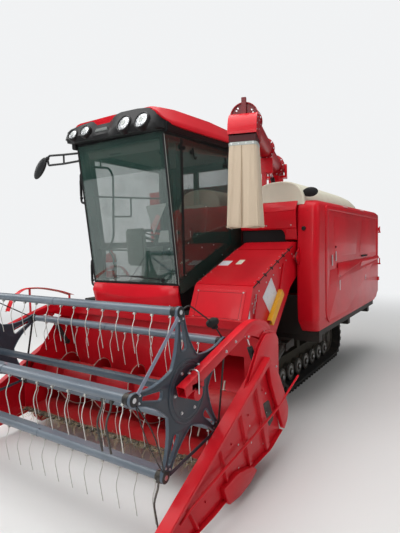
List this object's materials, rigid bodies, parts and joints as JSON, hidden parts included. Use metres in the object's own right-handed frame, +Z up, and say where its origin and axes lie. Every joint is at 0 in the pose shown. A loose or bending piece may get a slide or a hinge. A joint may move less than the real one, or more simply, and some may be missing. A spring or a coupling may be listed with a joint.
{
  "type": "combine harvester",
  "caption": "Rubber-tracked combine harvester with a glazed cab, a tined reel header, a feeder house, a threshing body with side covers, a grain tank and a folding unloading auger.",
  "frame": {"origin": "on the ground at the middle of the machine's outline, midway between the tracks", "axes": "-Y is forward, +X is the machine's left, +Z is up"},
  "size_m": [2.68, 5.3, 2.77],
  "materials": {
    "red_paint": "gloss",
    "black_paint": "satin",
    "blue_grey_paint": "satin",
    "cream_plastic": "satin",
    "beige_fabric": "coated",
    "black_plastic": "satin",
    "grey_plastic": "satin",
    "rubber": "matte",
    "steel": "worn",
    "cast_iron": "rough",
    "glass": "clear",
    "lamp": "clear",
    "seat_fabric": "woven"
  },
  "bodies": {
    "machine": {"chassis": "red_paint", "engine": "cast_iron", "track_left": "rubber", "track_right": "rubber", "track_frame_left": "red_paint", "track_frame_right": "red_paint", "rollers_left": "steel", "rollers_right": "steel", "cab_floor": "black_paint", "cab_shell": "black_paint", "cab_glass": "glass", "cab_lower_panel": "red_paint", "cab_roof": "red_paint", "roof_visor": "black_plastic", "lamps": "lamp", "seat": "seat_fabric", "console": "grey_plastic", "mirror": "black_paint", "grab_handles": "black_paint", "steps": "black_paint", "thresher": "red_paint", "drum_cover": "cream_plastic", "front_cover": "red_paint", "grain_tank": "red_paint", "rear_hood": "red_paint", "side_screen": "black_plastic", "auger_rest": "red_paint"},
    "cab_door": {"cab_door": "black_paint", "door_glass": "glass"},
    "side_cover": {"side_cover": "red_paint"},
    "turret": {"turret": "red_paint"},
    "boom": {"boom": "red_paint", "discharge_spout": "beige_fabric"},
    "tilt_barrel": {"tilt_barrel": "black_paint"},
    "tilt_rod": {"tilt_rod": "steel"},
    "header": {"feeder_house": "red_paint", "header_trough": "red_paint", "header_sides": "red_paint", "cutter_bar": "steel", "dividers": "red_paint"},
    "lift_barrels": {"lift_barrels": "black_paint"},
    "lift_rods": {"lift_rods": "steel"},
    "feed_auger": {"feed_auger": "red_paint"},
    "reel_arms": {"reel_arms": "red_paint"},
    "reel_barrels": {"reel_barrels": "black_paint"},
    "reel_rods": {"reel_rods": "steel"},
    "reel": {"reel_stars": "blue_grey_paint"},
    "bat_1": {"bat_1": "blue_grey_paint"},
    "bat_2": {"bat_2": "blue_grey_paint"},
    "bat_3": {"bat_3": "blue_grey_paint"},
    "bat_4": {"bat_4": "blue_grey_paint"},
    "bat_5": {"bat_5": "blue_grey_paint"}
  },
  "joints": [
    {"name": "cab_door_swing", "type": "hinge", "parent": "machine", "child": "cab_door", "pos_m": [-0.58, 0.022, 1.1], "axis": [0, 0, 1], "range_deg": [-85, 0]},
    {"name": "side_cover_swing", "type": "hinge", "parent": "machine", "child": "side_cover", "pos_m": [1.318, 2.612, 1.4], "axis": [0, 0, 1], "range_deg": [0, 90]},
    {"name": "unload_swing", "type": "hinge", "parent": "machine", "child": "turret", "pos_m": [0.15, 1.65, 2.24], "axis": [0, 0, 1], "range_deg": [0, 120]},
    {"name": "unload_tilt", "type": "hinge", "parent": "turret", "child": "boom", "pos_m": [0.15, 1.65, 2.62], "axis": [-0.9518, -0.3069, 0], "range_deg": [0, 20]},
    {"name": "tilt_barrel_turn", "type": "hinge", "parent": "turret", "child": "tilt_barrel", "pos_m": [0.2037, 1.48344, 2.33], "axis": [-0.9518, -0.3069, 0], "range_deg": [-0.1, 21.55]},
    {"name": "tilt_rod_slide", "type": "slide", "parent": "tilt_barrel", "child": "tilt_rod", "axis": [0.2965, -0.9196, 0.2577], "range_m": [-0.002, 0.1186]},
    {"name": "header_lift", "type": "hinge", "parent": "machine", "child": "header", "pos_m": [0, -0.15, 1.47], "axis": [-1, 0, 0], "range_deg": [-1.5, 18]},
    {"name": "lift_barrel_turn", "type": "hinge", "parent": "machine", "child": "lift_barrels", "pos_m": [0, -0.24, 0.64], "axis": [-1, 0, 0], "range_deg": [-2.06, 23.59]},
    {"name": "lift_rod_slide", "type": "slide", "parent": "lift_barrels", "child": "lift_rods", "axis": [0, -0.9148, -0.4039], "range_m": [-0.0224, 0.2466]},
    {"name": "feed_auger_spin", "type": "hinge", "parent": "header", "child": "feed_auger", "pos_m": [0, -1.37, 0.42], "axis": [1, 0, 0], "continuous": true},
    {"name": "reel_lift", "type": "hinge", "parent": "header", "child": "reel_arms", "pos_m": [0, -1.05, 0.845], "axis": [-1, 0, 0], "range_deg": [0, 20]},
    {"name": "reel_barrel_turn", "type": "hinge", "parent": "header", "child": "reel_barrels", "pos_m": [0, -1.25, 0.7], "axis": [-1, 0, 0], "range_deg": [-0.1, 17.41]},
    {"name": "reel_rod_slide", "type": "slide", "parent": "reel_barrels", "child": "reel_rods", "axis": [0, -0.5145, 0.8575], "range_m": [-0.002, 0.086]},
    {"name": "reel_spin", "type": "hinge", "parent": "reel_arms", "child": "reel", "pos_m": [0, -2.05, 0.806], "axis": [1, 0, 0], "continuous": true},
    {"name": "bat_1_turn", "type": "hinge", "parent": "reel", "child": "bat_1", "pos_m": [0, -2.10422, 1.25272], "axis": [1, 0, 0], "continuous": true},
    {"name": "bat_2_turn", "type": "hinge", "parent": "reel", "child": "bat_2", "pos_m": [0, -2.49161, 0.89248], "axis": [1, 0, 0], "continuous": true},
    {"name": "bat_3_turn", "type": "hinge", "parent": "reel", "child": "bat_3", "pos_m": [0, -2.26871, 0.41273], "axis": [1, 0, 0], "continuous": true},
    {"name": "bat_4_turn", "type": "hinge", "parent": "reel", "child": "bat_4", "pos_m": [0, -1.74356, 0.47646], "axis": [1, 0, 0], "continuous": true},
    {"name": "bat_5_turn", "type": "hinge", "parent": "reel", "child": "bat_5", "pos_m": [0, -1.6419, 0.99561], "axis": [1, 0, 0], "continuous": true}
  ],
  "couplings": [
    {"joint": "lift_barrel_turn", "follows": "header_lift", "ratio": 1.3051},
    {"joint": "lift_rod_slide", "follows": "header_lift", "m_per_rad": 0.77854},
    {"joint": "reel_barrel_turn", "follows": "reel_lift", "ratio": 0.86538},
    {"joint": "reel_rod_slide", "follows": "reel_lift", "m_per_rad": 0.2406},
    {"joint": "tilt_barrel_turn", "follows": "unload_tilt", "ratio": 1.0723},
    {"joint": "tilt_rod_slide", "follows": "unload_tilt", "m_per_rad": 0.33415},
    {"joint": "bat_1_turn", "follows": "reel_spin", "ratio": -1},
    {"joint": "bat_2_turn", "follows": "reel_spin", "ratio": -1},
    {"joint": "bat_3_turn", "follows": "reel_spin", "ratio": -1},
    {"joint": "bat_4_turn", "follows": "reel_spin", "ratio": -1},
    {"joint": "bat_5_turn", "follows": "reel_spin", "ratio": -1}
  ]
}
